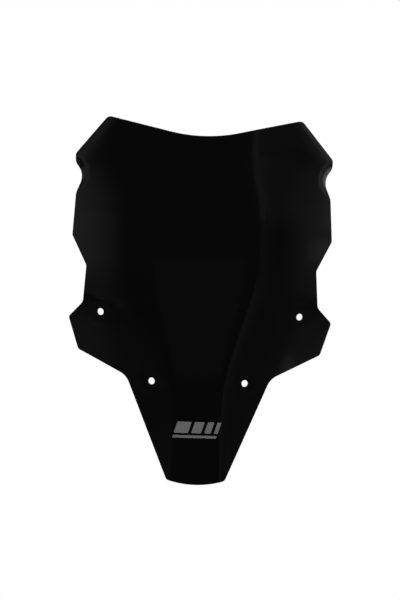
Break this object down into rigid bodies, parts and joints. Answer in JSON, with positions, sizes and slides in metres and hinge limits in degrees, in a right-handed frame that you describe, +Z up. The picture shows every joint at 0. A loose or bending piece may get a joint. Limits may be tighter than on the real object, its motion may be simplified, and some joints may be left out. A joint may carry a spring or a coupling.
{
  "type": "motorcycle windshield screen",
  "caption": "Curved dark acrylic windshield screen with swept sides, side notches, fixing ears and a tapered lower wedge.",
  "frame": {"origin": "middle of the four fixing holes, at the mean depth of their centres on the back face", "axes": "+X to the side, across the mirror plane; +Z up along the sheet's height; -Y out of the front face, +Y towards the rider"},
  "size_m": [0.4088, 0.077, 0.5701],
  "materials": {
    "smoked_acrylic": "polished, almost opaque black smoke",
    "grey_film": "satin grey transfer film"
  },
  "bodies": {
    "root": {"screen_panel": "smoked_acrylic", "badge_bar_1": "grey_film", "badge_bar_2": "grey_film", "badge_bar_3": "grey_film", "badge_bar_4": "grey_film", "badge_underline": "grey_film"}
  },
  "joints": []
}
